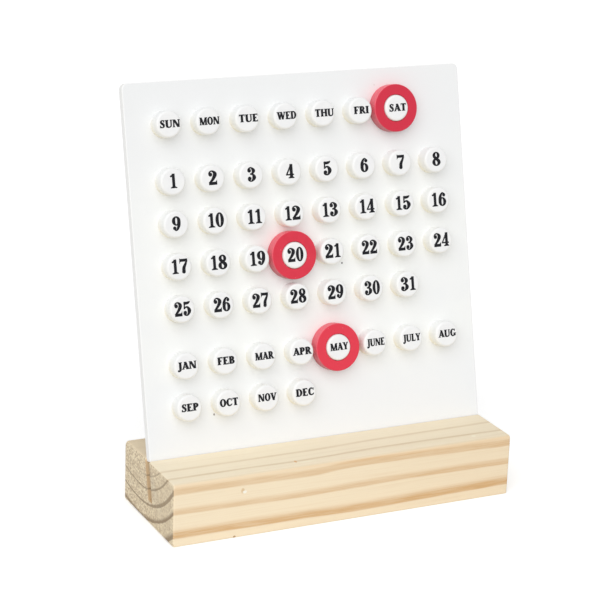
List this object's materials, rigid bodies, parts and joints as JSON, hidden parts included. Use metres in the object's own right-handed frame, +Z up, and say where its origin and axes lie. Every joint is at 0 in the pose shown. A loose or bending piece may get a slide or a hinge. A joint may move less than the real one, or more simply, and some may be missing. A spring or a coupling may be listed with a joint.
{
  "type": "perpetual calendar",
  "caption": "Desk calendar for any year: a white board of round date studs leans in a slotted wooden base, and red rings slip over the studs to mark the day.",
  "frame": {"origin": "middle of the base's underside, on the surface it stands on", "axes": "+X along the base to the right as seen from the front, +Y to the back, the way the board leans, +Z up"},
  "size_m": [0.1798, 0.0772, 0.2035],
  "materials": {
    "pine": "planed and sanded pine, bare, with growth rings on the ends and bands along the front",
    "white_board": "opaque white acrylic, satin",
    "white_stud": "opaque white plastic with a soft rim, printed in black on the face",
    "red_ring": "red plastic, satin face and smooth sides"
  },
  "bodies": {
    "base": {"base_block": "pine"},
    "board": {"calendar_board": "white_board", "stud_sun": "white_stud", "stud_mon": "white_stud", "stud_tue": "white_stud", "stud_wed": "white_stud", "stud_thu": "white_stud", "stud_fri": "white_stud", "stud_sat": "white_stud", "stud_date_01": "white_stud", "stud_date_02": "white_stud", "stud_date_03": "white_stud", "stud_date_04": "white_stud", "stud_date_05": "white_stud", "stud_date_06": "white_stud", "stud_date_07": "white_stud", "stud_date_08": "white_stud", "stud_date_09": "white_stud", "stud_date_10": "white_stud", "stud_date_11": "white_stud", "stud_date_12": "white_stud", "stud_date_13": "white_stud", "stud_date_14": "white_stud", "stud_date_15": "white_stud", "stud_date_16": "white_stud", "stud_date_17": "white_stud", "stud_date_18": "white_stud", "stud_date_19": "white_stud", "stud_date_20": "white_stud", "stud_date_21": "white_stud", "stud_date_22": "white_stud", "stud_date_23": "white_stud", "stud_date_24": "white_stud", "stud_date_25": "white_stud", "stud_date_26": "white_stud", "stud_date_27": "white_stud", "stud_date_28": "white_stud", "stud_date_29": "white_stud", "stud_date_30": "white_stud", "stud_date_31": "white_stud", "stud_jan": "white_stud", "stud_feb": "white_stud", "stud_mar": "white_stud", "stud_apr": "white_stud", "stud_may": "white_stud", "stud_jun": "white_stud", "stud_jul": "white_stud", "stud_aug": "white_stud", "stud_sep": "white_stud", "stud_oct": "white_stud", "stud_nov": "white_stud", "stud_dec": "white_stud"},
    "weekday_marker": {"ring_weekday": "red_ring"},
    "date_marker": {"ring_date": "red_ring"},
    "month_marker": {"ring_month": "red_ring"}
  },
  "joints": [
    {"name": "board_lift", "type": "slide", "parent": "base", "child": "board", "axis": [0, 0.2351, 0.972], "range_m": [0, 0.025]},
    {"name": "ring_weekday_pull", "type": "slide", "parent": "board", "child": "weekday_marker", "axis": [0, -0.972, 0.2351], "range_m": [0, 0.012]},
    {"name": "ring_date_pull", "type": "slide", "parent": "board", "child": "date_marker", "axis": [0, -0.972, 0.2351], "range_m": [0, 0.012]},
    {"name": "ring_month_pull", "type": "slide", "parent": "board", "child": "month_marker", "axis": [0, -0.972, 0.2351], "range_m": [0, 0.012]}
  ]
}
